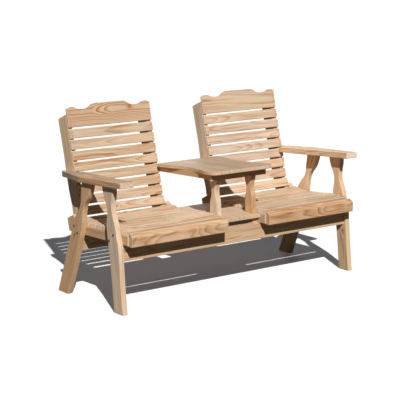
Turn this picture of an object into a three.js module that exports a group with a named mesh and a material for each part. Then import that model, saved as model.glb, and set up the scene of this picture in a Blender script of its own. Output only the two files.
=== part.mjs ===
// Cross back settee: two slatted seats side by side with a small table between them.
// Millimetres, +Z up, the front faces -Y, the feet stand on z = 0, symmetric about x = 0.
// Inside the model y = 0 is the rear edge of the seat slats.

import * as THREE from 'three';

// Timber
const boardThick = 30; // legs, posts, rails, arms, aprons and nosings
const slatThick = 19; // seat slats, table strip and console board
const slatWide = 44.5; // seat slats
const boardEase = 2; // sanded edge of a thick board
const slatEase = 2.5; // sanded edge of a slat
const endEase = 1; // sanded edge of a slat's sawn end
const fit = 0.3; // joint between two pieces that meet

// The two places to sit
const tableBay = 269.2; // between the two seats, rail to rail
const seatWide = 612; // length of a seat slat
const railReveal = 6; // side of the rail beyond the ends of the slats
const seatDepth = 485;
const seatHeight = 413; // rear edge of the seat
const seatSlatGap = 12; // nearly: the slats are spaced evenly over the depth
const noseGap = 23.5; // light slot behind the nosing
const noseFace = 53; // upright front of the nosing
const noseBevelRise = 17;
const noseEase = 4;
const noseDropShare = 0.024; // front edge of the nosing below the rear of the seat

// Side rails
const railFrontDrop = 59.5; // lower edge below the rear of the seat, at the front
const railRearDrop = 82;
const railTail = 95; // length behind the seat
const railTailDrop = 12;
const railUndercut = 16;
const railHorn = 13; // rise of the tail above the rear of the seat
const railHornRun = 38;
const railCorner = 9;

// Backs
const backReveal = 39; // ends of the seat slats beyond those of the back
const backSlats = 8;
const backSlatThick = 12;
const backSlatWide = 48.5;
const backSlatEase = 3;
const backSlatGap = 9.6;
const backStart = 10; // first slat above the level of the seat, along the back
const backInset = 2; // back behind the seat, at the level of the seat
const recline = THREE.MathUtils.degToRad(16.8);
const crestHigh = 99; // at the outer corners
const uprightThick = 28;
const uprightFoot = 98;
const uprightRest = 18; // reach onto the rear apron
const uprightCrestShare = 0.74; // reach up behind the crest

// Aprons
const apronHigh = 87;
const frontApronSetback = 77; // behind the front of the nosing
const rearApronInset = 33; // front face ahead of the rear of the seat

// Arms
const armRise = 232; // underside of the front end above the rear of the seat
const armSetback = 34;
const armTail = 106; // behind the front of the back slats
const armWide = 82;
const armFallShare = 0.065; // drop from the front end, as a share of the way back
const armBackGap = 7; // between the inner step of an arm and the back slats

// Table
const tableRise = 20; // front edge of the top above the underside of the arms
const tableFallShare = 0.055;
const tableThick = 19;
const tableSetback = 48;
const tableReveal = 28.7; // beyond the bearers at the widest
const tableBackGap = 27;
const bearerThick = 29;
const bearerWide = 89;
const bearerTail = 98; // behind the table
const stripReveal = 7; // beyond the bearers
const stripHigh = 35;
const consoleDrop = 13; // below the rear of the seat
const consoleInset = 33; // rear edge ahead of the rear of the seat
const consoleNose = 6; // beyond the face of the front apron
const consoleRelief = 1.5; // notch around a post
const postThick = 30;
const postDeep = 100; // from the front of the apron to the furthest back that a post reaches

// Outlines: [y, z] as shares of the seat depth and of the arm height.
const frontLegFrontShares = [
  [-0.945, 0], [-0.888, 0.326], [-0.864, 0.512], [-0.823, 0.62], [-0.8, 0.69],
  [-0.766, 0.745], [-0.74, 0.797], [-0.732, 0.86], [-0.748, 0.93],
];
const frontLegRearShares = [
  [-0.785, 0], [-0.73, 0.301], [-0.688, 0.491], [-0.655, 0.605], [-0.641, 0.69],
  [-0.65, 0.735], [-0.656, 0.79], [-0.638, 0.838], [-0.604, 0.88], [-0.582, 0.915], [-0.562, 0.96],
];
const rearLegFrontShares = [
  [0.095, 0], [-0.05, 0.285], [-0.153, 0.52], [-0.188, 0.632], [-0.198, 0.7],
  [-0.213, 0.757], [-0.243, 0.8], [-0.29, 0.842], [-0.322, 0.885], [-0.345, 0.935],
];
const rearLegRearShares = [
  [0.288, 0], [0.19, 0.2], [0.085, 0.403], [-0.043, 0.657], [-0.146, 0.76],
  [-0.167, 0.868], [-0.179, 0.94],
];

// Post outlines: y from the front of the apron as shares of the post's depth, z from the apron
// to the table's bearer.
const postFrontShares = [
  [0.15, 0], [0.27, 0.265], [0.3, 0.455], [0.34, 0.564], [0.44, 0.663],
  [0.47, 0.739], [0.43, 0.833], [0.37, 0.92],
];
const postRearShares = [
  [0.85, 0], [0.89, 0.258], [0.9, 0.424], [0.87, 0.53], [0.8, 0.64],
  [0.78, 0.723], [0.86, 0.799], [0.94, 0.879],
];

// Top of the seat: y as shares of the slatted length, z as shares of the seat height.
const seatTopShares = [
  [-1, 1.022], [-0.937, 1.035], [-0.868, 1.039], [-0.71, 1.029], [-0.556, 1.007],
  [-0.37, 0.99], [-0.211, 0.983], [-0.075, 0.99], [0, 1],
];

// Front of the back and rear of its uprights: [lean, rise] as shares of the reclined back.
const backFaceShares = [
  [0, 0], [0.164, 0.086], [0.273, 0.182], [0.352, 0.285], [0.442, 0.391],
  [0.545, 0.493], [0.648, 0.593], [0.855, 0.825], [1, 1],
];
const uprightRearShares = [
  [0.655, 0.002], [0.7, 0.068], [0.885, 0.215], [0.97, 0.308], [1.048, 0.392],
  [1.164, 0.54], [1.333, 0.712], [1.497, 0.881],
];

// Half of the crest's top edge: [x, z] as shares of half its width and of its corner height.
const crestTopShares = [
  [1, 0], [0.955, 0.051], [0.899, 0.081], [0.831, 0.061], [0.735, -0.035], [0.637, -0.071],
  [0.555, -0.058], [0.5, -0.012], [0.449, 0.078], [0.393, 0.165], [0.33, 0.192],
];

// Edges of an arm: x from the side of the seat as shares of its width, y as shares of its length
// and, on the inner edge, of its length up to the back.
const armOuterShares = [
  [0.53, 0], [0.56, 0.02], [0.578, 0.27], [0.554, 0.592], [0.4, 0.68], [0.029, 0.854],
  [-0.178, 0.982],
];
const armInnerShares = [
  [-0.959, 0.957], [-0.776, 0.634], [-0.678, 0.577], [-0.52, 0.265], [-0.446, 0.12], [-0.446, 0],
];
const armCornerShare = 0.1; // chamfer of the rear outer corner

// Half of the table's edge: x as shares of half its width, y of its depth.
const tableEdgeShares = [
  [0.793, 0], [0.913, 0.013], [0.976, 0.046], [1, 0.088], [1, 0.151], [0.952, 0.245],
  [0.894, 0.319], [0.865, 0.423], [0.851, 0.507], [0.87, 0.633], [0.904, 0.717], [0.938, 0.79],
  [0.976, 0.927], [0.99, 1],
];

const settee = new THREE.Group();
const frame = new THREE.Group();
settee.add(frame);

// Materials, outlines and boards

function pine(colour, roughness) {
  return new THREE.MeshStandardMaterial({ color: colour, roughness, metalness: 0 });
}

const freshPine = () => pine('#dcb68a', 0.72);
const warmPine = () => pine('#d3a273', 0.74);
const greyedPine = () => pine('#c6a98b', 0.78);

// Smooth line through hand-set points.
function smooth(points, steps) {
  const line = new THREE.SplineCurve(points.map(([a, b]) => new THREE.Vector2(a, b)));
  return line.getPoints(steps);
}

// Closed outline with each corner rounded by a short curve.
function softOutline(corners, radius) {
  const shape = new THREE.Shape();
  corners.forEach((corner, i) => {
    const before = corners[(i + corners.length - 1) % corners.length];
    const after = corners[(i + 1) % corners.length];
    const enter = corner.clone().add(before.clone().sub(corner).setLength(radius));
    const leave = corner.clone().add(after.clone().sub(corner).setLength(radius));
    if (i === 0) shape.moveTo(enter.x, enter.y);
    else shape.lineTo(enter.x, enter.y);
    shape.quadraticCurveTo(corner.x, corner.y, leave.x, leave.y);
  });
  shape.closePath();
  return shape;
}

// Board of an even thickness, centred on it, with its edges eased.
function eased(shape, thick, ease, curveSteps = 2) {
  const solid = new THREE.ExtrudeGeometry(shape, {
    depth: thick - 2 * ease,
    bevelEnabled: true,
    bevelThickness: ease,
    bevelSize: ease,
    bevelOffset: -ease,
    bevelSegments: 1,
    curveSegments: curveSteps,
  });
  solid.translate(0, 0, ease - thick / 2);
  return solid;
}

// Turns an outline drawn in side view, y then z, so that its thickness lies along x.
const sideView = new THREE.Matrix4().makeBasis(
  new THREE.Vector3(0, 1, 0),
  new THREE.Vector3(0, 0, 1),
  new THREE.Vector3(1, 0, 0),
);

function place(name, geometry, material, parent = frame) {
  const mesh = new THREE.Mesh(geometry, material);
  mesh.name = name;
  parent.add(mesh);
  return mesh;
}

function sideBoard(name, shape, thick, x, material) {
  const mesh = place(name, eased(shape, thick, boardEase).applyMatrix4(sideView), material);
  mesh.position.x = x;
  return mesh;
}

// Slat with its outer face on a line in side view, from one edge to the other.
function slatOnLine(start, end, wide, thick, ease) {
  const along = end.clone().sub(start).normalize();
  const middle = start.clone().add(end).multiplyScalar(0.5);
  const inward = new THREE.Vector2(along.y, -along.x);
  const under = (reach) => middle.clone()
    .addScaledVector(along, reach)
    .addScaledVector(inward, thick + fit);
  const underside = [under(-wide / 2), under(wide / 2)];
  return { middle, angle: along.angle(), underside, wide, thick, ease };
}

function layLengthwise(name, lay, long, x, material) {
  const half = lay.wide / 2;
  const section = softOutline([
    new THREE.Vector2(-half, -lay.thick),
    new THREE.Vector2(half, -lay.thick),
    new THREE.Vector2(half, 0),
    new THREE.Vector2(-half, 0),
  ], lay.ease);
  const solid = new THREE.ExtrudeGeometry(section, {
    depth: long - 2 * endEase,
    bevelEnabled: true,
    bevelThickness: endEase,
    bevelSize: endEase,
    bevelOffset: -endEase,
    bevelSegments: 1,
    curveSegments: 2,
  });
  solid.translate(0, 0, endEase - long / 2);
  const mesh = place(name, solid.applyMatrix4(sideView), material);
  mesh.position.set(x, lay.middle.x, lay.middle.y);
  mesh.rotation.x = lay.angle;
  return mesh;
}

function box(name, wide, deep, high, material, parent = frame) {
  const half = deep / 2;
  const section = softOutline([
    new THREE.Vector2(-half, 0),
    new THREE.Vector2(half, 0),
    new THREE.Vector2(half, high),
    new THREE.Vector2(-half, high),
  ], boardEase);
  return place(name, eased(section, wide, endEase).applyMatrix4(sideView), material, parent);
}

// Heights and places that the pieces share

const railOuter = seatWide / 2 + railReveal; // from the middle of a seat
const railMiddle = railOuter - boardThick / 2;
const seatCentre = tableBay / 2 + railOuter;
const backWide = seatWide - 2 * backReveal;
const armHeight = seatHeight + armRise;
const tableHigh = armHeight + tableRise;
const sideFace = seatCentre + railOuter; // inner faces of the legs
const innerFace = seatCentre - railOuter; // outer faces of the posts
const slattedDepth = seatDepth - boardThick - noseGap;
const noseBack = -seatDepth + boardThick;
const bySide = (shares, high) => shares.map(([a, b]) => [a * seatDepth, b * high]);

const railBottom = (y) => {
  const run = (y - noseBack) / (railTail - noseBack);
  return seatHeight - railFrontDrop - run * (railRearDrop - railFrontDrop);
};
const frontApronFace = -seatDepth + frontApronSetback;
const frontApronTop = railBottom(frontApronFace + boardThick) - fit;
const rearApronFace = -rearApronInset;
const rearApronTop = railBottom(rearApronFace + boardThick) - fit;

const armFront = -seatDepth + armSetback;
const armUnder = (y) => armHeight - armFallShare * (y - armFront);

const tableFront = -seatDepth + tableSetback;
const tableTop = (y) => tableHigh - tableFallShare * (y - tableFront);
const tiltedDepth = (fall) => Math.sqrt(1 + fall * fall);
const bearerDrop = (tableThick + bearerThick + 2 * fit) * tiltedDepth(tableFallShare);
const bearerUnder = (y) => tableTop(y) - bearerDrop;

// Lie of the slats

const seatTop = new THREE.SplineCurve(
  seatTopShares.map(([a, b]) => new THREE.Vector2(a * slattedDepth, b * seatHeight)),
);
const seatRun = seatTop.getLength();
const seatSlats = Math.round((seatRun + seatSlatGap) / (slatWide + seatSlatGap));
const seatPitch = (seatRun - slatWide) / (seatSlats - 1);
const onSeat = (distance) => seatTop.getPointAt(distance / seatRun);
const seatLays = Array.from({ length: seatSlats }, (_, i) => {
  const start = i * seatPitch;
  return slatOnLine(onSeat(start), onSeat(start + slatWide), slatWide, slatThick, slatEase);
});

const backPitch = backSlatWide + backSlatGap;
const backRun = backStart + backSlats * backPitch + crestHigh;
const backLean = backRun * Math.sin(recline);
const backRise = backRun * Math.cos(recline);
const leaning = ([lean, rise]) => (
  new THREE.Vector2(backInset + lean * backLean, seatHeight + rise * backRise)
);
const backFace = new THREE.SplineCurve(backFaceShares.map(leaning));
const backFaceRun = backFace.getLength();
const onBack = (distance) => backFace.getPointAt(distance / backFaceRun);
const backLays = Array.from({ length: backSlats }, (_, i) => {
  const start = onBack(backStart + i * backPitch);
  const end = onBack(backStart + i * backPitch + backSlatWide);
  return slatOnLine(start, end, backSlatWide, backSlatThick, backSlatEase);
});
const crestFoot = onBack(backStart + backSlats * backPitch);
const crestAlong = onBack(backFaceRun).sub(crestFoot).normalize();
const crestInward = new THREE.Vector2(crestAlong.y, -crestAlong.x);
const backFaceAt = (z) => {
  const line = backFace.getPoints(100);
  return line.find((point) => point.y >= z).x;
};

// Outlines of the side frames

function legOutline(frontShares, rearShares) {
  const front = smooth(bySide(frontShares, armHeight), 18);
  const rear = smooth(bySide(rearShares, armHeight), 18);
  const top = (edge) => {
    const y = edge[edge.length - 1].x;
    return new THREE.Vector2(y, armUnder(y) - fit);
  };
  return new THREE.Shape([...front, top(front), top(rear), ...rear.reverse()]);
}

function railOutline() {
  const rests = seatLays.flatMap((lay) => lay.underside);
  const [frontRest] = rests;
  const rearRest = rests[rests.length - 1];
  const low = railTail - railUndercut;
  const lowZ = railBottom(low);
  const tailZ = seatHeight - railTailDrop;
  const shape = new THREE.Shape();
  shape.moveTo(noseBack + fit, railBottom(noseBack));
  shape.lineTo(low - railCorner, lowZ);
  shape.quadraticCurveTo(low, lowZ, low, lowZ + railCorner);
  shape.lineTo(railTail, tailZ - railCorner);
  shape.quadraticCurveTo(railTail, tailZ, railTail - railCorner, tailZ);
  shape.lineTo(railHornRun, seatHeight + railHorn);
  shape.lineTo(rearRest.x + boardEase, rearRest.y);
  rests.reverse().forEach((point) => shape.lineTo(point.x, point.y));
  shape.lineTo(noseBack + fit, frontRest.y);
  shape.closePath();
  return shape;
}

const uprightOutline = () => {
  const footFront = rearApronFace + boardThick - uprightRest;
  const footZ = rearApronTop + fit;
  const crestRest = crestFoot.clone().addScaledVector(crestInward, backSlatThick + fit);
  const crestTip = crestRest.clone().addScaledVector(crestAlong, crestHigh * uprightCrestShare);
  const rear = uprightRearShares.map(leaning).reverse();
  return new THREE.Shape([
    new THREE.Vector2(footFront, footZ),
    ...backLays.flatMap((lay) => lay.underside),
    crestRest,
    crestTip,
    ...rear,
    new THREE.Vector2(footFront + uprightFoot, footZ),
  ]);
};

const postFoot = frontApronTop + fit;
const postEdge = (shares) => {
  const place = (share) => frontApronFace + share * postDeep;
  const headY = place(shares[shares.length - 1][0]);
  const head = bearerUnder(headY) - fit;
  const high = bearerUnder(place(shares[0][0])) - postFoot;
  const edge = shares.map(([a, b]) => [place(a), postFoot + b * high]);
  return [...smooth(edge, 16), new THREE.Vector2(headY, head)];
};
const postFront = postEdge(postFrontShares);
const postRear = postEdge(postRearShares);

// Crest, arms, table and console

function crestBoard() {
  const half = backWide / 2;
  const rightTop = crestTopShares.map(([a, b]) => new THREE.Vector2(a * half, crestHigh * (1 + b)));
  const leftTop = rightTop.map((point) => new THREE.Vector2(-point.x, point.y)).reverse();
  const shape = new THREE.Shape([
    new THREE.Vector2(half, 0),
    ...rightTop,
    ...leftTop,
    new THREE.Vector2(-half, 0),
  ]);
  return eased(shape, backSlatThick, boardEase).translate(0, 0, -backSlatThick / 2);
}

function armBoard(side) {
  const back = backFaceAt(armUnder(0)) - armFront;
  const step = back - armBackGap;
  const armLong = back + armTail;
  const at = (long) => ([a, b]) => new THREE.Vector2(side * (sideFace + a * armWide), b * long);
  const outer = armOuterShares.map(at(armLong));
  const inner = armInnerShares.map(at(step));
  const besideBack = side * (seatCentre + backWide / 2 + fit);
  const rearX = outer[outer.length - 1].x - side * armCornerShare * armWide;
  const shape = new THREE.Shape([
    ...outer,
    new THREE.Vector2(rearX, armLong),
    new THREE.Vector2(besideBack, armLong),
    new THREE.Vector2(besideBack, step),
    new THREE.Vector2(inner[0].x, step),
    ...inner,
  ]);
  return eased(shape, boardThick, boardEase).translate(0, 0, boardThick / 2);
}

const tableDeep = backFaceAt(tableTop(0)) - tableBackGap - tableFront;

function tableBoard() {
  const half = bearerOuter + tableReveal;
  const at = ([a, b]) => new THREE.Vector2(a * half, b * tableDeep);
  const rightEdge = tableEdgeShares.map(at);
  const leftEdge = rightEdge.map((point) => new THREE.Vector2(-point.x, point.y)).reverse();
  return eased(new THREE.Shape([...rightEdge, ...leftEdge]), tableThick, boardEase)
    .translate(0, 0, -tableThick / 2);
}

const bearerOuter = seatCentre - backWide / 2 - fit;
const besideStrip = postFront.filter((point) => point.y > bearerUnder(point.x) - stripHigh);
const postHeadY = Math.min(...besideStrip.map((point) => point.x));
const bearerFront = postHeadY - tableFront;
const bearerLong = tableDeep + bearerTail - bearerFront;
const postMiddle = innerFace - fit - postThick / 2;

const consoleTop = seatHeight - consoleDrop;

function consoleBoard() {
  const half = innerFace - fit;
  const notchX = postMiddle - postThick / 2 - consoleRelief;
  const beside = [...postFront, ...postRear]
    .filter((point) => Math.abs(point.y - consoleTop) < 2 * slatThick)
    .map((point) => point.x);
  const notchFront = Math.min(...beside) - consoleRelief;
  const notchRear = Math.max(...beside) + consoleRelief;
  const rightEnd = [
    [half, frontApronFace - consoleNose],
    [half, notchFront],
    [notchX, notchFront],
    [notchX, notchRear],
    [half, notchRear],
    [half, -consoleInset],
  ].map(([x, y]) => new THREE.Vector2(x, y));
  const leftEnd = rightEnd.map((point) => new THREE.Vector2(-point.x, point.y)).reverse();
  return eased(new THREE.Shape([...rightEnd, ...leftEnd]), slatThick, endEase);
}

const table = new THREE.Group();
table.position.set(0, tableFront, tableHigh);
table.rotation.x = -Math.atan(tableFallShare);
frame.add(table);

// Everything in its place

for (const [hand, side] of [['left', -1], ['right', 1]]) {
  const centre = side * seatCentre;

  // Legs outside the seat, and a post inside it that carries the table.
  const legX = side * (sideFace + fit + boardThick / 2);
  const frontLeg = legOutline(frontLegFrontShares, frontLegRearShares);
  const rearLeg = legOutline(rearLegFrontShares, rearLegRearShares);
  sideBoard(`front_leg_${hand}`, frontLeg, boardThick, legX, freshPine());
  sideBoard(`rear_leg_${hand}`, rearLeg, boardThick, legX, warmPine());

  for (const [end, edge] of [['outer', side], ['inner', -side]]) {
    const x = centre + edge * railMiddle;
    sideBoard(`side_rail_${hand}_${end}`, railOutline(), boardThick, x, warmPine());
  }

  // Nosing and seat slats.
  const noseTop = seatHeight * (1 - noseDropShare);
  const nosing = softOutline([
    new THREE.Vector2(-seatDepth, noseTop - noseFace),
    new THREE.Vector2(noseBack, noseTop - noseFace),
    new THREE.Vector2(noseBack, noseTop + noseBevelRise),
    new THREE.Vector2(-seatDepth, noseTop),
  ], noseEase);
  const noseSolid = eased(nosing, seatWide, endEase).applyMatrix4(sideView);
  place(`seat_nosing_${hand}`, noseSolid, freshPine()).position.x = centre;
  seatLays.forEach((lay, i) => {
    layLengthwise(`seat_slat_${hand}_${i + 1}`, lay, seatWide, centre, freshPine());
  });

  // Back: slats from the lowest up, the shaped crest and two uprights behind them.
  backLays.forEach((lay, i) => {
    layLengthwise(`back_slat_${hand}_${i + 1}`, lay, backWide, centre, freshPine());
  });
  const crest = place(`crest_${hand}`, crestBoard(), freshPine());
  crest.position.set(centre, crestFoot.x, crestFoot.y);
  crest.rotation.x = crestAlong.angle();
  for (const [end, edge] of [['outer', side], ['inner', -side]]) {
    const x = centre + edge * (backWide - uprightThick) / 2;
    sideBoard(`upright_${hand}_${end}`, uprightOutline(), uprightThick, x, warmPine());
  }

  // Arm on the legs, and the bearer that is the arm inside the seat.
  const arm = place(`arm_${hand}`, armBoard(side), freshPine());
  arm.position.set(0, armFront, armHeight);
  arm.rotation.x = -Math.atan(armFallShare);
  const post = new THREE.Shape([...postFront, ...postRear.slice().reverse()]);
  sideBoard(`post_${hand}`, post, postThick, side * postMiddle, warmPine());
  const bearer = box(`bearer_${hand}`, bearerWide, bearerLong, bearerThick, warmPine(), table);
  bearer.position.set(
    side * (bearerOuter - bearerWide / 2),
    bearerFront + bearerLong / 2,
    -tableThick - fit - bearerThick,
  );
}

place('table_top', tableBoard(), greyedPine(), table);
const stripLong = 2 * (bearerOuter + stripReveal);
const strip = box('table_strip', stripLong, slatThick, stripHigh, warmPine(), table);
strip.position.set(0, bearerFront - fit - slatThick / 2, -tableThick - fit - stripHigh);

place('console_board', consoleBoard(), freshPine()).position.z = consoleTop - slatThick / 2;

for (const [name, face, top] of [
  ['front_apron', frontApronFace, frontApronTop],
  ['rear_apron', rearApronFace, rearApronTop],
]) {
  const apron = box(name, 2 * sideFace, boardThick, apronHigh, warmPine());
  apron.position.set(0, face + boardThick / 2, top - apronHigh);
}

// The whole settee is centred front to back over its origin.
const extent = new THREE.Box3().setFromObject(frame, true);
frame.position.y = -(extent.min.y + extent.max.y) / 2;

export default settee;
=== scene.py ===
import math
import random

import bmesh
import bpy
from mathutils import Matrix, Vector


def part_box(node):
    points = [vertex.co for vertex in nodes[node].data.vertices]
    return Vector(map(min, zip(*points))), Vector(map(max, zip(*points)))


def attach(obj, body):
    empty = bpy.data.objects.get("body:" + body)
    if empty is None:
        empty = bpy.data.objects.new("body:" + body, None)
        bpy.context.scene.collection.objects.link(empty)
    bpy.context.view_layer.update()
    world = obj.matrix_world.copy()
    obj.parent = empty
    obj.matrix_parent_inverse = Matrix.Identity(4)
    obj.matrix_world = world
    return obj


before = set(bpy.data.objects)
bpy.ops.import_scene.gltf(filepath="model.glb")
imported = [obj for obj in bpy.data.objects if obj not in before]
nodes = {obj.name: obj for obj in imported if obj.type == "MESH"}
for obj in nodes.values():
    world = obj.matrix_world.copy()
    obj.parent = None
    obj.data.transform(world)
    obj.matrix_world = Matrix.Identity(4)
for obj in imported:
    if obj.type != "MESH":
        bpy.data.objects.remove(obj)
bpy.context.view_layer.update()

# The settee's look: bare pine with screws and bolts, in plain light.
# Metres, +Z up, the front of the settee faces -Y.

MM = 0.001
scene = bpy.context.scene

# Camera: where the photograph was taken from, and its lens in pixels of the image
IMAGE = 400
CAMERA_AT = Vector((-4.7624, -6.0102, 2.0521))
CAMERA_TURN = math.radians(-38.15)  # 0 looks along +Y
CAMERA_DROP = math.radians(11.73)
CAMERA_ROLL = math.radians(0.80)
FOCAL_PIXELS = 1440.6
CENTRE_PIXEL = (200.25, 196.35)
SENSOR = 36.0

# Light
SUN_TRAVEL = Vector((0.525, 1.025, -1.0))
SUN_STRENGTH = 3.95
SUN_WIDTH = math.radians(0.8)
SUN_COLOUR = (1.0, 0.985, 0.96)
FILL_TRAVEL = Vector((-0.60, -1.0, -0.05))  # soft light from behind, on the right
FILL_STRENGTH = 1.3
FILL_WIDTH = math.radians(30)
FILL_COLOUR = (0.97, 0.98, 1.0)
SKY_STRENGTH = 0.035
SKY_COLOUR = (0.95, 0.97, 1.0, 1)
WHITE = (1, 1, 1, 1)
FLOOR_REACH = 30.0
FLOOR_BOUNCE = (0.07, 0.065, 0.06, 1)
FLOOR_SEEN = (1.16, 1.17, 1.19, 1)
FLOOR_GLOW = 0.022  # light of its own, for the rays that see it directly
FLOOR_GLOW_COLOUR = (0.70, 0.90, 1.20, 1)

# Softening of the boards' edges
EDGE_WIDTH = 0.9 * MM
EDGE_STEPS = 2
EDGE_ANGLE = math.radians(30)
NORMAL_DIGITS = 2  # faces whose normals agree to these decimals count as one side


def linear(hex_colour):
    """Linear colour of a hex code as it looks on a screen."""
    channels = [int(hex_colour[i:i + 2], 16) / 255 for i in (1, 3, 5)]
    return tuple(c / 12.92 if c <= 0.04045 else ((c + 0.055) / 1.055) ** 2.4 for c in channels) + (1,)


# Tones of the boards: early wood, late wood
TONES = {
    "pale": (linear("#d8c3ad"), linear("#b28560")),
    "fresh": (linear("#d1ba9e"), linear("#ab774e")),
    "honey": (linear("#cdb699"), linear("#a9642c")),
    "sandy": (linear("#dcc4a7"), linear("#b58057")),
    "cream": (linear("#e8d0b4"), linear("#bb8a5f")),
    "bright": (linear("#e8cca8"), linear("#be8753")),
    "blond": (linear("#ebd8c0"), linear("#c6966c")),
    "amber": (linear("#d9b68c"), linear("#aa703f")),
    "tan": (linear("#dcbc96"), linear("#aa754a")),
    "russet": (linear("#d6b088"), linear("#9c5f34")),
}
KNOT_COLOUR = linear("#965a30")
KNOT_RIM = linear("#b97a42")
END_COLOUR = linear("#f2e2cf")
WEATHER_COLOUR = linear("#9a8c80")

# Figure of the wood: how often a pattern repeats in a metre, along and across the grain
WANDER_GRAIN = (1.6, 5.0, 5.0)
RIPPLE_GRAIN = (9.0, 70.0, 70.0)
FIBRE_GRAIN = (9.0, 420.0, 420.0)
STREAK_GRAIN = (2.6, 75.0, 75.0)
BROAD_GRAIN = (2.2, 13.0, 13.0)
PATCH_GRAIN = (5.0, 9.0, 9.0)
CHIP_GRAIN = (40.0, 160.0, 160.0)
HALF_NOISE = (0.5, 0.5, 0.5)
RIPPLE_YEARS = 0.5  # how far the ripple shifts a ring, in rings
FIBRE_DETAIL = 3.0
FIBRE_ROUGHNESS = 0.6
CHIP_DETAIL = 3.0
YEAR_LEAST = 0.30  # weakest late wood of a year, as a share of the strongest
CORE_YEARS = (2.5, 4.5)  # the rings round the pith grow from faint to full between these
CORE_LEAST = 0.15

# Late wood across one year's ring: place, strength
YEAR_PROFILE = ((0.0, 0.0), (0.30, 0.06), (0.66, 0.45), (0.86, 1.0), (0.95, 0.6), (1.0, 0.0))

# Knots: reach, push, heart and edge in radii of the knot
KNOT_STRETCH = 2.1
KNOT_REACH = 3.4
KNOT_PUSH = 1.1
KNOT_HEART = (0.35, 0.8)
KNOT_EDGE = (0.8, 1.4)
KNOT_STRENGTH = 0.6
KNOT_RIM_STRENGTH = 0.5
AWAY = (9.0, 9.0, 0.01)  # a knot that no board reaches

# Tone: the range of a noise in which a mark appears, and how strong it gets
STREAK_RANGE = (0.46, 0.66)
PATCH_RANGE = (0.50, 0.72)
PATCH_STRENGTH = 0.34
PATCH_BLEND = 0.50  # from late wood to early wood
LIGHT_BASE = 0.76
LIGHT_FIBRE = 0.22
LIGHT_BROAD = 0.30

# Weather and sawn ends
UPPER_FACING = (0.5, 0.8)  # how squarely a face looks through the board's thickness
UPPER_LEAST = 0.1  # weather of the faces that look elsewhere
REAR_SHARES = (-0.55, 0.0)  # of half the board's length
BLOTCH_RANGE = (0.75, 1.2)
BLOTCH_LEAST = 0.5
SAWN_FACING = (0.6, 0.9)  # how squarely a face looks along the board
SLAT_END_BLEACH = 0.85
BOARD_END_BLEACH = 0.30

# Worn edges
WORN_NEAR = 1.5 * MM
WORN_FAR = 5.0 * MM
WORN_STRENGTH = 0.35
RUBBED_STRENGTH = 0.65
CHIP_DEPTH = 3.0 * MM

# Finish
ROUGH_BASE = 0.62
ROUGH_FIBRE = 0.16
ROUGH_SAWN = 0.14
ROUGH_LATE = -0.10
HEIGHT_SHARE = 0.5
BUMP_DEPTH = 0.5 * MM
BUMP_STRENGTH = 0.35
WOOD_SPECULAR = 0.22

# Metal
CLOUD_REPEATS = 260
CLOUD_DETAIL = 3.0
DULL_REPEATS = 900
DULL_SPREAD = 0.35
METAL_SLOT = 0
# slot of the painted shade round a screw's head and in its drive recess
BORE_SHADE_SLOT = 1
SEAT_LIFT = 0.06 * MM  # between a face of the wood and the metal on it

# Screws
SCREW_HEAD = 2.7 * MM  # radius
# a flat ring of painted shade round a screw's head reaches out to this radius
SCREW_BORE_SHADE = 3.1 * MM
SCREW_STAND = 0.4 * MM
SCREW_SIDES = 18
SCREW_CROWN_SHARE = 0.82
DRIVE_SIZE = 1.2 * MM
DRIVE_CHAMFER_SHARE = 1.25

# Bolts and nuts
BOLT_SIDES = 24
BOLT_WASHER = 6.6 * MM  # radius
BOLT_WASHER_THICK = 1.5 * MM
BOLT_HEAD = 5.4 * MM
BOLT_DOME = 3.2 * MM
DOME_STEPS = 6
DOME_SPAN = math.radians(80)  # from its rim up to its lid
NUT_CORNER = 7.0 * MM
NUT_HIGH = 6.0 * MM
NUT_CHAMFER = 0.7 * MM
NUT_SIDES = 6
THREAD_RADIUS = 3.6 * MM
THREAD_STAND = 4.0 * MM

# Places of the fasteners; shares are of half a board's width or length
SEAT_SCREW_INSET = 9 * MM  # to the middle of the side rail under a slat's end
BACK_SCREW_INSET = 14 * MM  # to the middle of the upright
SLAT_PAIR_SHARES = (-0.5, 0.5)
CREST_SHARES = (-0.72, -0.3, 0.1)
NOSING_SHARES = (-0.55, 0.35)
LEG_TOP_SLICE = 12 * MM
ARM_SCREW_STEP = 26 * MM
TABLE_STRIP_SHARES = (-0.8, 0, 0.8)
BEARER_STEPS = (-50 * MM, 130 * MM)
ARM_EDGE_SHARE = 0.59  # towards the arm's rear end

# Bolts of a leg: y and z on its side
FRONT_BOLTS = ((-255 * MM, 399 * MM), (-219 * MM, 364 * MM))
REAR_BOLTS = ((100 * MM, 381 * MM), (70 * MM, 349 * MM))


# Camera, light and floor

def build_camera():
    ahead = Vector((
        -math.sin(CAMERA_TURN) * math.cos(CAMERA_DROP),
        math.cos(CAMERA_TURN) * math.cos(CAMERA_DROP),
        -math.sin(CAMERA_DROP),
    ))
    level = Vector((math.cos(CAMERA_TURN), math.sin(CAMERA_TURN), 0))
    above = level.cross(ahead)
    right = math.cos(CAMERA_ROLL) * level + math.sin(CAMERA_ROLL) * above
    up = math.cos(CAMERA_ROLL) * above - math.sin(CAMERA_ROLL) * level
    lens = bpy.data.cameras.new("camera")
    lens.sensor_width = SENSOR
    lens.lens = FOCAL_PIXELS * SENSOR / IMAGE
    lens.shift_x = 0.5 - CENTRE_PIXEL[0] / IMAGE
    lens.shift_y = CENTRE_PIXEL[1] / IMAGE - 0.5
    camera = bpy.data.objects.new("camera", lens)
    turned = Matrix((right, up, -ahead)).transposed().to_4x4()
    camera.matrix_world = Matrix.Translation(CAMERA_AT) @ turned
    scene.collection.objects.link(camera)
    scene.camera = camera


def build_lamp(name, travel, strength, width, colour):
    """Far lamp whose light travels in one direction; a wide one casts soft shadows."""
    lamp = bpy.data.lights.new(name, "SUN")
    lamp.energy = strength
    lamp.angle = width
    lamp.color = colour
    holder = bpy.data.objects.new(name, lamp)
    holder.rotation_mode = "QUATERNION"
    holder.rotation_quaternion = travel.to_track_quat("-Z", "Y")
    scene.collection.objects.link(holder)


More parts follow.
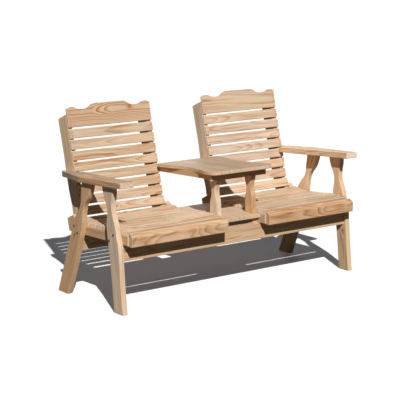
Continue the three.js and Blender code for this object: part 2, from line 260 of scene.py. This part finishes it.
class Tree:
    """Short ways to add nodes to one node tree."""

    def __init__(self, tree):
        self.tree = tree

    def add(self, kind, **settings):
        node = self.tree.nodes.new(kind)
        for name, value in settings.items():
            setattr(node, name, value)
        return node

    def feed(self, socket, value):
        if isinstance(value, bpy.types.NodeSocket):
            self.tree.links.new(value, socket)
        else:
            socket.default_value = value

    def math(self, operation, *values, clamp=False):
        node = self.add("ShaderNodeMath", operation=operation, use_clamp=clamp)
        for socket, value in zip(node.inputs, values):
            self.feed(socket, value)
        return node.outputs[0]

    def vector(self, operation, *values):
        node = self.add("ShaderNodeVectorMath", operation=operation)
        for socket, value in zip(node.inputs, values):
            self.feed(socket, value)
        return node.outputs["Value" if operation in ("LENGTH", "DOT_PRODUCT") else "Vector"]

    def scaled(self, vector, factor):
        node = self.add("ShaderNodeVectorMath", operation="SCALE")
        self.feed(node.inputs[0], vector)
        self.feed(node.inputs["Scale"], factor)
        return node.outputs["Vector"]

    def split(self, vector):
        node = self.add("ShaderNodeSeparateXYZ")
        self.feed(node.inputs[0], vector)
        return node.outputs

    def join(self, x, y, z):
        node = self.add("ShaderNodeCombineXYZ")
        for socket, value in zip(node.inputs, (x, y, z)):
            self.feed(socket, value)
        return node.outputs[0]

    def noise(self, vector, scale=1.0, detail=2.0, roughness=0.5):
        node = self.add("ShaderNodeTexNoise", noise_dimensions="3D")
        self.feed(node.inputs["Vector"], vector)
        self.feed(node.inputs["Scale"], scale)
        self.feed(node.inputs["Detail"], detail)
        self.feed(node.inputs["Roughness"], roughness)
        return node.outputs

    def grain(self, place, repeats, detail=2.0, roughness=0.5):
        """Noise stretched along the board."""
        return self.noise(self.vector("MULTIPLY", place, repeats), 1.0, detail, roughness)[0]

    def rise(self, value, low, high, bottom=0.0, top=1.0):
        """Smooth step of a value between two limits."""
        node = self.add("ShaderNodeMapRange", interpolation_type="SMOOTHSTEP")
        for socket, number in zip(node.inputs, (value, low, high, bottom, top)):
            self.feed(socket, number)
        return node.outputs[0]

    def ramp(self, value, stops):
        node = self.add("ShaderNodeValToRGB")
        points = node.color_ramp.elements
        while len(points) < len(stops):
            points.new(0.5)
        for point, (place, level) in zip(points, stops):
            point.position = place
            point.color = (level, level, level, 1)
        self.feed(node.inputs[0], value)
        return node.outputs[0]

    def mix(self, factor, first, second, blend="MIX"):
        node = self.add("ShaderNodeMix", data_type="RGBA", blend_type=blend)
        self.feed(node.inputs[0], factor)
        self.feed(node.inputs[6], first)
        self.feed(node.inputs[7], second)
        return node.outputs[2]

    def lit(self, colour, level):
        """Colour times a brightness."""
        grey = self.add("ShaderNodeCombineColor")
        for socket in grey.inputs:
            self.feed(socket, level)
        return self.mix(1.0, colour, grey.outputs[0], "MULTIPLY")


def seen_directly(tree):
    """1 for camera, glossy and transmission rays, 0 for light on its way between surfaces."""
    rays = tree.add("ShaderNodeLightPath")
    shiny = tree.math("MAXIMUM", rays.outputs["Is Glossy Ray"], rays.outputs["Is Transmission Ray"])
    return tree.math("MAXIMUM", rays.outputs["Is Camera Ray"], shiny)


def build_sky():
    world = bpy.data.worlds.new("sky")
    scene.world = world
    world.use_nodes = True
    world.node_tree.nodes.clear()
    tree = Tree(world.node_tree)
    sky = tree.add("ShaderNodeBackground")
    sky.inputs["Color"].default_value = SKY_COLOUR
    sky.inputs["Strength"].default_value = SKY_STRENGTH
    white = tree.add("ShaderNodeBackground")
    white.inputs["Color"].default_value = WHITE
    white.inputs["Strength"].default_value = 1.0
    choice = tree.add("ShaderNodeMixShader")
    tree.feed(choice.inputs[0], seen_directly(tree))
    tree.feed(choice.inputs[1], sky.outputs[0])
    tree.feed(choice.inputs[2], white.outputs[0])
    out = tree.add("ShaderNodeOutputWorld")
    tree.feed(out.inputs["Surface"], choice.outputs[0])


def build_floor():
    r = FLOOR_REACH
    mesh = bpy.data.meshes.new("floor")
    mesh.from_pydata([(-r, -r, 0), (r, -r, 0), (r, r, 0), (-r, r, 0)], [], [(0, 1, 2, 3)])
    floor = bpy.data.objects.new("floor", mesh)
    scene.collection.objects.link(floor)
    material = bpy.data.materials.new("floor")
    material.use_nodes = True
    material.node_tree.nodes.clear()
    tree = Tree(material.node_tree)
    pale = tree.add("ShaderNodeBsdfDiffuse")
    pale.inputs["Color"].default_value = FLOOR_SEEN
    glow = tree.add("ShaderNodeEmission")
    glow.inputs["Color"].default_value = FLOOR_GLOW_COLOUR
    glow.inputs["Strength"].default_value = FLOOR_GLOW
    seen = tree.add("ShaderNodeAddShader")
    tree.feed(seen.inputs[0], pale.outputs[0])
    tree.feed(seen.inputs[1], glow.outputs[0])
    bounce = tree.add("ShaderNodeBsdfDiffuse")
    bounce.inputs["Color"].default_value = FLOOR_BOUNCE
    choice = tree.add("ShaderNodeMixShader")
    tree.feed(choice.inputs[0], seen_directly(tree))
    tree.feed(choice.inputs[1], bounce.outputs[0])
    tree.feed(choice.inputs[2], seen.outputs[0])
    out = tree.add("ShaderNodeOutputMaterial")
    tree.feed(out.inputs["Surface"], choice.outputs[0])
    mesh.materials.append(material)


# Boards

class Board:
    """Where a board lies: x along its grain, y across it, z through its thickness."""

    SHOWN_SIDE = Vector((0.3, -0.5, 1.0))  # outward, forward and up, for a board on the right
    LONG_SIDE = Vector((1.0, -0.1, 0.2))

    def __init__(self, node, along=None):
        points = [vertex.co for vertex in node.data.vertices]
        middle = sum(points, Vector()) / len(points)
        through = self.thickness_way(node.data.polygons, middle)
        first = along or self.long_way(points, middle, through)
        first = (first - through * first.dot(through)).normalized()
        self.axes = (first, through.cross(first), through)
        spans = [[point.dot(axis) for point in points] for axis in self.axes]
        self.size = Vector([max(span) - min(span) for span in spans])
        self.centre = sum(
            (axis * (max(span) + min(span)) / 2 for axis, span in zip(self.axes, spans)),
            Vector(),
        )
        self.turn = Matrix(self.axes)

    @classmethod
    def thickness_way(cls, faces, middle):
        """Square to the largest flat side, towards the side that shows."""
        spread = {}
        for face in faces:
            normal = face.normal
            if max(normal, key=abs) < 0:
                normal = -normal
            key = tuple(round(value, NORMAL_DIGITS) for value in normal)
            total = spread.setdefault(key, Vector())
            total += normal * face.area
        through = max(spread.values(), key=lambda total: total.length).normalized()
        outward = cls.SHOWN_SIDE.copy()
        outward.x = math.copysign(outward.x, middle.x)
        return -through if through.dot(outward) < 0 else through

    @classmethod
    def long_way(cls, points, middle, through):
        """Direction in which the points of a face spread furthest."""
        side = through.orthogonal().normalized()
        other = through.cross(side)
        pairs = [((p - middle).dot(side), (p - middle).dot(other)) for p in points]
        aa = sum(a * a for a, _ in pairs)
        bb = sum(b * b for _, b in pairs)
        ab = sum(a * b for a, b in pairs)
        angle = 0.5 * math.atan2(2 * ab, aa - bb)
        way = side * math.cos(angle) + other * math.sin(angle)
        return way if way.dot(cls.LONG_SIDE) > 0 else -way

    def at(self, along, across, through):
        """Point at a distance from the centre along each of the board's own axes."""
        offsets = (along, across, through)
        return self.centre + sum((axis * way for axis, way in zip(self.axes, offsets)), Vector())


GRAIN_ALONG = {
    "table_top": Vector((0, 1, 0)),
    "console_board": Vector((0, 1, 0)),
}
boards = {name: Board(node, GRAIN_ALONG.get(name)) for name, node in nodes.items()}


# Pine

PINE_INPUTS = {
    "Place": "Vector", "Facing": "Vector", "Half Size": "Vector", "Pith": "Vector",
    "Seed": "Vector", "Knot 1": "Vector", "Knot 2": "Vector", "Ring": "Float",
    "Dive": "Vector", "Wander": "Float", "Contrast": "Float", "Streaks": "Float",
    "Knots": "Float", "Weather": "Vector", "Early": "Color", "Late": "Color",
}
PINE_OUTPUTS = {"Color": "Color", "Roughness": "Float", "Height": "Float"}


def ring_radius(tree, given, seeded):
    """Distance from a pith that wanders, and dives under the face over part of the length."""
    slow = tree.vector("MULTIPLY", seeded, WANDER_GRAIN)
    drift = tree.vector("SUBTRACT", tree.noise(slow, detail=1.0)["Color"], HALF_NOISE)
    drift = tree.scaled(drift, given["Wander"])
    off = tree.vector("SUBTRACT", tree.vector("ADD", given["Place"], drift), given["Pith"])
    along, across, deep = tree.split(off)
    tilt, first, last = tree.split(given["Dive"])
    along = tree.math("MINIMUM", tree.math("MAXIMUM", along, first), last)
    deep = tree.math("SUBTRACT", deep, tree.math("MULTIPLY", along, tilt))
    return tree.vector("LENGTH", tree.join(0.0, across, deep))


def knot_at(tree, place, knot):
    """Distance from a knot's heart in radii of the knot, and that radius."""
    x, y, _ = tree.split(place)
    knot_x, knot_y, radius = tree.split(knot)
    down = tree.math("DIVIDE", tree.math("SUBTRACT", x, knot_x), KNOT_STRETCH)
    over = tree.math("SUBTRACT", y, knot_y)
    apart = tree.vector("LENGTH", tree.join(down, over, 0.0))
    return tree.math("DIVIDE", apart, radius), radius


def late_wood(tree, years):
    """Dark part of each ring, stronger in some years."""
    late = tree.ramp(tree.math("FRACT", years), YEAR_PROFILE)
    year = tree.add("ShaderNodeTexWhiteNoise", noise_dimensions="1D")
    tree.feed(year.inputs["W"], tree.math("FLOOR", years))
    strength = tree.math("MULTIPLY_ADD", year.outputs[0], 1 - YEAR_LEAST, YEAR_LEAST)
    strength = tree.math("MULTIPLY", strength, tree.rise(years, *CORE_YEARS, CORE_LEAST, 1.0))
    return tree.math("MULTIPLY", late, strength)


def near_edge(tree, given):
    """Distance to the board's nearest edge: the middle one of those to its three pairs of faces."""
    half = tree.vector("SUBTRACT", given["Half Size"], tree.vector("ABSOLUTE", given["Place"]))
    x, y, z = tree.split(half)
    nearer = tree.math("MINIMUM", x, y)
    further = tree.math("MAXIMUM", x, y)
    return tree.math("MAXIMUM", nearer, tree.math("MINIMUM", further, z))


def growth_years(tree, given, seeded, knots):
    """Rings counted from the pith, pushed aside round the knots."""
    radius = ring_radius(tree, given, seeded)
    for share, size in knots:
        swell = tree.math("MULTIPLY", tree.rise(share, 0.0, KNOT_REACH, KNOT_PUSH, 0.0), size)
        swell = tree.math("MULTIPLY", swell, given["Knots"])
        radius = tree.math("ADD", radius, swell)
    ripple = tree.grain(seeded, RIPPLE_GRAIN)
    years = tree.math("DIVIDE", radius, given["Ring"])
    return tree.math("MULTIPLY_ADD", ripple, RIPPLE_YEARS, years)


def wood_colour(tree, given, late, marks):
    """Rings and streaks of late wood, warm patches, fibres and broad changes of tone."""
    rings = tree.math("MULTIPLY", late, given["Contrast"])
    streaks = tree.math("MULTIPLY", tree.rise(marks["streak"], *STREAK_RANGE), given["Streaks"])
    amount = tree.math("ADD", rings, streaks, clamp=True)
    colour = tree.mix(amount, given["Early"], given["Late"])
    warm = tree.rise(marks["patch"], *PATCH_RANGE, 0.0, PATCH_STRENGTH)
    colour = tree.mix(warm, colour, tree.mix(PATCH_BLEND, given["Late"], given["Early"]))
    light = tree.math("MULTIPLY_ADD", marks["fibre"], LIGHT_FIBRE, LIGHT_BASE)
    light = tree.math("MULTIPLY_ADD", marks["broad"], LIGHT_BROAD, light)
    return tree.lit(colour, light)


def with_knots(tree, given, colour, knots):
    """Each knot's rim and its dark heart."""
    for share, _ in knots:
        rim = tree.rise(share, *KNOT_EDGE, KNOT_RIM_STRENGTH, 0.0)
        colour = tree.mix(tree.math("MULTIPLY", rim, given["Knots"]), colour, KNOT_RIM)
        heart = tree.rise(share, *KNOT_HEART, KNOT_STRENGTH, 0.0)
        heart = tree.math("MULTIPLY", heart, tree.math("MULTIPLY", given["Knots"], given["Knots"]))
        colour = tree.mix(heart, colour, KNOT_COLOUR)
    return colour


def weathered(tree, given, colour, facing, sawn, marks):
    """Grey blotches on the upper face and the rear end, and bleached sawn ends."""
    weather_top, weather_rear, bleached = tree.split(given["Weather"])
    upper = tree.rise(facing[2], *UPPER_FACING, UPPER_LEAST, 1.0)
    upper = tree.math("MULTIPLY", upper, weather_top)
    ways = tree.split(tree.vector("DIVIDE", given["Place"], given["Half Size"]))
    rear = tree.math("MULTIPLY", tree.rise(ways[0], *REAR_SHARES, 1.0, 0.0), weather_rear)
    blotch = tree.math("ADD", marks["streak"], marks["patch"])
    blotch = tree.rise(blotch, *BLOTCH_RANGE, BLOTCH_LEAST, 1.0)
    weather = tree.math("MULTIPLY", tree.math("MAXIMUM", upper, rear), blotch)
    colour = tree.mix(weather, colour, WEATHER_COLOUR)
    return tree.mix(tree.math("MULTIPLY", sawn, bleached), colour, END_COLOUR)


def worn(tree, given, colour, seeded):
    """Edges rubbed pale, in an uneven line."""
    chips = tree.grain(seeded, CHIP_GRAIN, CHIP_DETAIL)
    edge = tree.math("MULTIPLY_ADD", chips, CHIP_DEPTH, near_edge(tree, given))
    amount = tree.rise(edge, WORN_NEAR, WORN_FAR, WORN_STRENGTH, 0.0)
    rubbed = tree.mix(RUBBED_STRENGTH, given["Early"], WHITE, "SOFT_LIGHT")
    return tree.mix(amount, colour, rubbed)


def pine_group():
    """Growth rings round a wandering pith, knots, fibres, weather, sawn ends and worn edges."""
    group = bpy.data.node_groups.new("pine", "ShaderNodeTree")
    for way, kinds in (("INPUT", PINE_INPUTS), ("OUTPUT", PINE_OUTPUTS)):
        for name, kind in kinds.items():
            group.interface.new_socket(name=name, in_out=way, socket_type="NodeSocket" + kind)
    tree = Tree(group)
    given = tree.add("NodeGroupInput").outputs
    out = tree.add("NodeGroupOutput").inputs
    seeded = tree.vector("ADD", given["Place"], given["Seed"])
    facing = tree.split(given["Facing"])
    sawn = tree.rise(tree.math("ABSOLUTE", facing[0]), *SAWN_FACING)
    marks = {
        "fibre": tree.grain(seeded, FIBRE_GRAIN, FIBRE_DETAIL, FIBRE_ROUGHNESS),
        "streak": tree.grain(seeded, STREAK_GRAIN),
        "broad": tree.grain(seeded, BROAD_GRAIN),
        "patch": tree.grain(seeded, PATCH_GRAIN),
    }
    knots = [knot_at(tree, given["Place"], given[name]) for name in ("Knot 1", "Knot 2")]
    late = late_wood(tree, growth_years(tree, given, seeded, knots))

    colour = wood_colour(tree, given, late, marks)
    colour = with_knots(tree, given, colour, knots)
    colour = weathered(tree, given, colour, facing, sawn, marks)
    tree.feed(out["Color"], worn(tree, given, colour, seeded))

    rough = tree.math("MULTIPLY_ADD", marks["fibre"], ROUGH_FIBRE, ROUGH_BASE)
    rough = tree.math("MULTIPLY_ADD", sawn, ROUGH_SAWN, rough)
    rough = tree.math("MULTIPLY_ADD", late, ROUGH_LATE, rough)
    tree.feed(out["Roughness"], rough)
    height = tree.math("ADD", marks["fibre"], late)
    tree.feed(out["Height"], tree.math("MULTIPLY", height, HEIGHT_SHARE))
    return group


PINE = pine_group()


class Look:
    """Tone of a board, its rings and marks, and how its pith lies.

    Ring, wander and depth are in millimetres: one year's growth, how far the pith strays, and how
    deep it lies under the face. It tilts between two shares of half the board's length, and pith
    is its share of half the width to one side, drawn for each board where none is given.
    Weather: of the upper face, of the rear end, and how bleached the sawn ends are.
    """

    def __init__(self, tone, ring=5.5, wander=40, depth=45, tilt=0.0, dive=(-1.0, 1.0), pith=None,
                 contrast=0.55, streaks=0.35, knots=1.0, weather=(0.0, 0.0, 0.35)):
        self.early, self.late = TONES[tone]
        self.ring = ring * MM
        self.wander = wander * MM
        self.depth = depth * MM
        self.tilt = tilt
        self.dive = dive
        self.pith = pith
        self.contrast = contrast
        self.streaks = streaks
        self.knots = knots
        self.weather = weather


# Boards whose figure stands out
LOOKS = {
    "crest_left": Look("honey", ring=6.5, wander=30, depth=32, tilt=0.15, dive=(-0.42, 0.04),
                       pith=0.30, contrast=1.3, streaks=0.10, knots=0.7),
    "crest_right": Look("fresh", ring=5.5, wander=60, depth=60, tilt=0.02, contrast=0.8),
    "front_leg_left": Look("cream", ring=5.5, depth=70, contrast=0.6, streaks=0.25),
    "front_leg_right": Look("bright", ring=6.0, depth=60, tilt=0.04, contrast=0.75),
    "rear_leg_left": Look("amber", ring=6.0, wander=60, contrast=0.45, streaks=0.25),
    "rear_leg_right": Look("bright", ring=6.0, wander=60, contrast=0.8),
    "table_top": Look("tan", ring=7.0, wander=70, depth=60, contrast=0.5,
                      weather=(0.62, 0.0, 0.15)),
    "seat_nosing_left": Look("tan", ring=8.0, wander=70, depth=60, tilt=0.08, contrast=1.0,
                             knots=0.55, weather=(0.0, 0.0, 0.20)),
    "seat_nosing_right": Look("russet", ring=6.5, wander=90, depth=34, tilt=0.02, contrast=1.0,
                              knots=0.30, weather=(0.0, 0.0, 0.15)),
    "console_board": Look("sandy", ring=6.0, wander=60, contrast=0.45, weather=(0.15, 0.0, 0.0)),
    "front_apron": Look("tan", ring=5.5, wander=50, contrast=0.7, streaks=0.3),
    "arm_left": Look("tan", ring=7.0, wander=60, contrast=1.1, streaks=0.5,
                     weather=(0.28, 0.85, 0.45)),
    "arm_right": Look("bright", ring=7.0, wander=70, depth=30, contrast=0.9,
                      weather=(0.15, 0.1, 0.70)),
    "post_right": Look("amber", ring=6.5, wander=50, contrast=0.7),
    "post_left": Look("blond", ring=6.5, wander=60, contrast=0.65),
    "upright_left_outer": Look("bright", contrast=0.35),
    "upright_right_inner": Look("cream", contrast=0.35),
    "side_rail_left_outer": Look("amber", ring=7.0, wander=60, contrast=0.4),
}
GROUP_TONES = (
    ("seat_slat_left", ("tan", "sandy", "fresh")),
    ("seat_slat_right", ("sandy", "sandy", "fresh")),
    ("back_slat_left", ("fresh", "fresh", "pale")),
    ("back_slat_right", ("pale", "pale", "sandy")),
    ("", ("amber", "fresh")),
)

# Knots, as shares of half the board's length and width, with their radius
KNOTS = {
    "crest_left": [(-0.70, 1.05, 13 * MM), (0.49, 0.42, 6 * MM)],
    "seat_nosing_left": [(-0.80, 0.0, 20 * MM), (0.22, 0.1, 12 * MM)],
    "seat_nosing_right": [(0.10, -0.1, 15 * MM), (0.66, -0.1, 16 * MM)],
    "rear_leg_left": [(0.05, 0.15, 9 * MM)],
    "front_leg_right": [(-0.3, 0.2, 7 * MM)],
    "back_slat_left_1": [(-0.2, 0.1, 7 * MM)],
    "seat_slat_right_4": [(0.3, 0.1, 6 * MM)],
    "side_rail_left_outer": [(0.4, 0.0, 9 * MM)],
}


# Ranges that a plain board's figure is drawn from, lengths in millimetres
PLAIN_RING = (4.5, 7.5)
PLAIN_WANDER = (25, 60)
PLAIN_DEPTH = (20, 80)
PLAIN_TILT = (-0.04, 0.04)
PLAIN_CONTRAST = (0.55, 0.95)
PLAIN_STREAKS = (0.3, 0.55)
PITH_SHARES = (-0.5, 0.5)  # of half the board's width
SEED_RANGE = (-20, 20)


def board_look(name, dice):
    """The board's own look, or one drawn for it."""
    tones = next(tones for start, tones in GROUP_TONES if name.startswith(start))
    plain = Look(
        dice.choice(tones),
        ring=dice.uniform(*PLAIN_RING),
        wander=dice.uniform(*PLAIN_WANDER),
        depth=dice.uniform(*PLAIN_DEPTH),
        tilt=dice.uniform(*PLAIN_TILT),
        contrast=dice.uniform(*PLAIN_CONTRAST),
        streaks=dice.uniform(*PLAIN_STREAKS),
        weather=(0.0, 0.0, SLAT_END_BLEACH if "slat" in name else BOARD_END_BLEACH),
    )
    return LOOKS.get(name, plain)


def own_axes(tree, board):
    """Place and facing as the board's own axes give them."""
    texture = tree.add("ShaderNodeTexCoord")
    turn = board.turn.to_euler("XYZ")
    place = tree.add("ShaderNodeMapping", vector_type="POINT")
    place.inputs["Rotation"].default_value = turn
    place.inputs["Location"].default_value = -(board.turn @ board.centre)
    tree.feed(place.inputs["Vector"], texture.outputs["Object"])
    facing = tree.add("ShaderNodeMapping", vector_type="VECTOR")
    facing.inputs["Rotation"].default_value = turn
    tree.feed(facing.inputs["Vector"], texture.outputs["Normal"])
    return place.outputs[0], facing.outputs[0]


def figure(name, half):
    """Tone, rings, knots and marks of one board, by the sockets of the pine group."""
    dice = random.Random(name)
    look = board_look(name, dice)
    pith = dice.uniform(*PITH_SHARES) if look.pith is None else look.pith
    knots = [(a * half.x, b * half.y, size) for a, b, size in KNOTS.get(name, [])] + [AWAY, AWAY]
    return {
        "Half Size": half,
        "Pith": (0, pith * half.y, half.z - look.depth),
        "Seed": [dice.uniform(*SEED_RANGE) for _ in half],
        "Knot 1": knots[0],
        "Knot 2": knots[1],
        "Ring": look.ring,
        "Dive": (look.tilt, look.dive[0] * half.x, look.dive[1] * half.x),
        "Wander": look.wander,
        "Contrast": look.contrast,
        "Streaks": look.streaks,
        "Knots": look.knots,
        "Weather": look.weather,
        "Early": look.early,
        "Late": look.late,
    }


def pine_material(name, board):
    material = bpy.data.materials.new("pine_" + name)
    material.use_nodes = True
    tree = Tree(material.node_tree)
    shader = tree.tree.nodes["Principled BSDF"]
    pine = tree.add("ShaderNodeGroup", node_tree=PINE)
    place, facing = own_axes(tree, board)
    tree.feed(pine.inputs["Place"], place)
    tree.feed(pine.inputs["Facing"], facing)
    for socket, value in figure(name, board.size / 2).items():
        tree.feed(pine.inputs[socket], value)
    tree.feed(shader.inputs["Base Color"], pine.outputs["Color"])
    tree.feed(shader.inputs["Roughness"], pine.outputs["Roughness"])
    shader.inputs["Specular IOR Level"].default_value = WOOD_SPECULAR
    bump = tree.add("ShaderNodeBump")
    bump.inputs["Strength"].default_value = BUMP_STRENGTH
    bump.inputs["Distance"].default_value = BUMP_DEPTH
    tree.feed(bump.inputs["Height"], pine.outputs["Height"])
    tree.feed(shader.inputs["Normal"], bump.outputs[0])
    return material


def dress_board(name, node):
    node.data.materials.clear()
    node.data.materials.append(pine_material(name, boards[name]))
    bevel = node.modifiers.new("eased edges", "BEVEL")
    bevel.width = EDGE_WIDTH
    bevel.segments = EDGE_STEPS
    bevel.limit_method = "ANGLE"
    bevel.angle_limit = EDGE_ANGLE
    for face in node.data.polygons:
        face.use_smooth = True
    node.data.set_sharp_from_angle(angle=EDGE_ANGLE)


# Metal

def metal_material(name, dark, bright, roughness, metallic):
    """Plated metal, or the dark brown of painted shade in a screw's bore and drive recess, clouded
    and dulled in patches.
    """
    material = bpy.data.materials.new(name)
    material.use_nodes = True
    tree = Tree(material.node_tree)
    shader = tree.tree.nodes["Principled BSDF"]
    texture = tree.add("ShaderNodeTexCoord")
    cloud = tree.noise(texture.outputs["Object"], CLOUD_REPEATS, CLOUD_DETAIL)[0]
    dull = tree.noise(texture.outputs["Object"], DULL_REPEATS)[0]
    tree.feed(shader.inputs["Base Color"], tree.mix(cloud, linear(dark), linear(bright)))
    tree.feed(shader.inputs["Roughness"], tree.math("MULTIPLY_ADD", dull, DULL_SPREAD, roughness))
    shader.inputs["Metallic"].default_value = metallic
    return material


SCREW_METAL = metal_material("screw_plate", "#a2875f", "#c2a77e", roughness=0.45, metallic=0.25)
BOLT_METAL = metal_material("bolt_plate", "#3c2e25", "#5f4d40", roughness=0.50, metallic=0.30)
# painted shade: dark brown for the shadowed gap round each screw head and for its drive recess
BORE_SHADE = metal_material("bore_shade", "#7a5a3a", "#a07c54", roughness=0.65, metallic=0.0)


def ring(radius, height, sides):
    """Corners of a regular polygon round the Z axis."""
    steps = (2 * math.pi * i / sides for i in range(sides))
    return [Vector((radius * math.cos(a), radius * math.sin(a), height)) for a in steps]


def add_rings(shape, spot, out, rings, slots):
    """Skin of rings that stands on a spot: one slot for each band, and one for the lid."""
    matrix = Matrix.Translation(spot) @ out.to_track_quat("Z", "X").to_matrix().to_4x4()
    loops = [[shape.verts.new(matrix @ point) for point in points] for points in rings]
    for below, above, slot in zip(loops, loops[1:], slots):
        for i in range(len(below)):
            j = (i + 1) % len(below)
            face = shape.faces.new((below[i], below[j], above[j], above[i]))
            face.material_index = slot
            face.smooth = True
    lid = shape.faces.new(loops[-1])
    lid.material_index = slots[-1]


def add_screw(shape, spot, out):
    """Head on a flat ring of painted shade where its bore's gap lies in shadow, with a drive recess
    also painted dark as its shade.
    """
    n = SCREW_SIDES
    rings = [
        # the first band and the drive recess are painted shade, on the bore slot
        ring(SCREW_BORE_SHADE, SEAT_LIFT, n),
        ring(SCREW_HEAD, 2 * SEAT_LIFT, n),
        ring(SCREW_HEAD * SCREW_CROWN_SHARE, SCREW_STAND, n),
        ring(DRIVE_SIZE * DRIVE_CHAMFER_SHARE, SCREW_STAND, n),
        ring(DRIVE_SIZE, 2 * SEAT_LIFT, n),
    ]
    add_rings(shape, spot, out, rings, [BORE_SHADE_SLOT, METAL_SLOT, METAL_SLOT, BORE_SHADE_SLOT, BORE_SHADE_SLOT])


def add_washer(shape, spot, out, hole):
    top = BOLT_WASHER_THICK
    rings = [
        ring(BOLT_WASHER, SEAT_LIFT, BOLT_SIDES),
        ring(BOLT_WASHER, top, BOLT_SIDES),
        ring(hole, top, BOLT_SIDES),
    ]
    add_rings(shape, spot, out, rings, [METAL_SLOT] * len(rings))


def add_bolt(shape, spot, out):
    """Washer under a domed bolt head."""
    add_washer(shape, spot, out, BOLT_HEAD)
    base = BOLT_WASHER_THICK + SEAT_LIFT
    angles = [DOME_SPAN * i / (DOME_STEPS - 1) for i in range(DOME_STEPS)]
    dome = [ring(BOLT_HEAD * math.cos(a), base + BOLT_DOME * math.sin(a), BOLT_SIDES) for a in angles]
    add_rings(shape, spot, out, dome, [METAL_SLOT] * DOME_STEPS)


def add_nut(shape, spot, out):
    """Washer, hexagon nut and the end of the bolt."""
    add_washer(shape, spot, out, THREAD_RADIUS)
    base = BOLT_WASHER_THICK + SEAT_LIFT
    top = base + NUT_HIGH
    nut = [
        ring(NUT_CORNER - NUT_CHAMFER, base, NUT_SIDES),
        ring(NUT_CORNER, base + NUT_CHAMFER, NUT_SIDES),
        ring(NUT_CORNER, top - NUT_CHAMFER, NUT_SIDES),
        ring(NUT_CORNER - NUT_CHAMFER, top, NUT_SIDES),
    ]
    add_rings(shape, spot, out, nut, [METAL_SLOT] * len(nut))
    tip = top + THREAD_STAND
    thread = [
        ring(THREAD_RADIUS, top, SCREW_SIDES),
        ring(THREAD_RADIUS, tip - NUT_CHAMFER, SCREW_SIDES),
        ring(THREAD_RADIUS - NUT_CHAMFER, tip, SCREW_SIDES),
    ]
    add_rings(shape, spot, out, thread, [METAL_SLOT] * len(thread))


def metal_piece(name, add, places, metal):
    """One piece of like fasteners, each on its spot and facing out."""
    shape = bmesh.new()
    for spot, out in places:
        add(shape, spot, out)
    mesh = bpy.data.meshes.new(name)
    shape.to_mesh(mesh)
    shape.free()
    mesh.materials.append(metal)
    mesh.materials.append(BORE_SHADE)
    piece = bpy.data.objects.new(name, mesh)
    scene.collection.objects.link(piece)
    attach(piece, "root")


# Screws, bolts and nuts on the boards

def face_places(name, along, across):
    """Spots on a board's outer face: distances along it, and shares of half its width."""
    board = boards[name]
    out = board.axes[2]
    return [
        (board.at(a, b * board.size.y / 2, board.size.z / 2), out)
        for a in along
        for b in across
    ]


def both_ends(name, inset):
    reach = boards[name].size.x / 2 - inset
    return (-reach, reach)


def end_places(name, inset, across):
    return face_places(name, both_ends(name, inset), across)


def build_screws(hand):
    seat = []
    back = []
    for name in nodes:
        if name.startswith(f"seat_slat_{hand}"):
            seat += end_places(name, SEAT_SCREW_INSET, SLAT_PAIR_SHARES)
        if name.startswith(f"back_slat_{hand}"):
            back += end_places(name, BACK_SCREW_INSET, SLAT_PAIR_SHARES)
    crest = end_places(f"crest_{hand}", BACK_SCREW_INSET, CREST_SHARES)
    nose = end_places(f"seat_nosing_{hand}", SEAT_SCREW_INSET, NOSING_SHARES)
    metal_piece(f"seat_screws_{hand}", add_screw, seat, SCREW_METAL)
    metal_piece(f"back_screws_{hand}", add_screw, back, SCREW_METAL)
    metal_piece(f"crest_screws_{hand}", add_screw, crest, SCREW_METAL)
    metal_piece(f"nosing_screws_{hand}", add_screw, nose, SCREW_METAL)


def top_middle(name):
    """Middle of the uppermost slice of a leg."""
    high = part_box(name)[1].z
    tops = [v.co for v in nodes[name].data.vertices if v.co.z > high - LEG_TOP_SLICE]
    return sum(tops, Vector()) / len(tops)


def on_top_of(board, spot):
    """Point of a board's upper face over a spot, with the face's direction."""
    out = board.axes[2]
    surface = board.at(0, 0, board.size.z / 2)
    rise = (surface - spot).dot(out) / out.z
    return spot + Vector((0, 0, rise)), out


def build_arm_screws(hand, side):
    arm = boards[f"arm_{hand}"]
    places = []
    for leg in (f"front_leg_{hand}", f"rear_leg_{hand}"):
        middle = top_middle(leg)
        for step in (-ARM_SCREW_STEP, ARM_SCREW_STEP):
            places.append(on_top_of(arm, middle + Vector((0, step, 0))))
    rearward = arm.axes[0] * math.copysign(1, arm.axes[0].y)
    edge = arm.centre + rearward * ARM_EDGE_SHARE * arm.size.x / 2
    edge.x = side * max(abs(corner.x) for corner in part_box(f"arm_{hand}"))
    places.append((edge, Vector((side, 0, 0))))
    metal_piece(f"arm_screws_{hand}", add_screw, places, BOLT_METAL)


def build_table_screws():
    top = boards["table_top"]
    strip = boards["table_strip"]
    places = []
    for share in TABLE_STRIP_SHARES:
        spot = Vector((share * strip.size.x / 2, strip.centre.y, strip.centre.z))
        places.append(on_top_of(top, spot))
    for hand in ("left", "right"):
        bearer = boards[f"bearer_{hand}"].centre
        for step in BEARER_STEPS:
            places.append(on_top_of(top, bearer + Vector((0, step, 0))))
    metal_piece("table_screws", add_screw, places, SCREW_METAL)


def build_bolts(hand, side):
    outer = side * max(abs(corner.x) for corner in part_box(f"front_leg_{hand}"))
    inner = side * min(abs(corner.x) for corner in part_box(f"side_rail_{hand}_outer"))
    out = Vector((side, 0, 0))
    spots = FRONT_BOLTS + REAR_BOLTS
    heads = [(Vector((outer, y, z)), out) for y, z in spots]
    ends = [(Vector((inner, y, z)), -out) for y, z in spots]
    metal_piece(f"leg_bolts_{hand}", add_bolt, heads, BOLT_METAL)
    metal_piece(f"leg_nuts_{hand}", add_nut, ends, BOLT_METAL)


# Everything

scene.view_settings.view_transform = "Standard"
build_camera()
build_lamp("sun", SUN_TRAVEL, SUN_STRENGTH, SUN_WIDTH, SUN_COLOUR)
build_lamp("fill", FILL_TRAVEL, FILL_STRENGTH, FILL_WIDTH, FILL_COLOUR)
build_sky()
build_floor()
for name, node in nodes.items():
    dress_board(name, node)
for hand, side in (("left", -1), ("right", 1)):
    build_screws(hand)
    build_arm_screws(hand, side)
    build_bolts(hand, side)
build_table_screws()
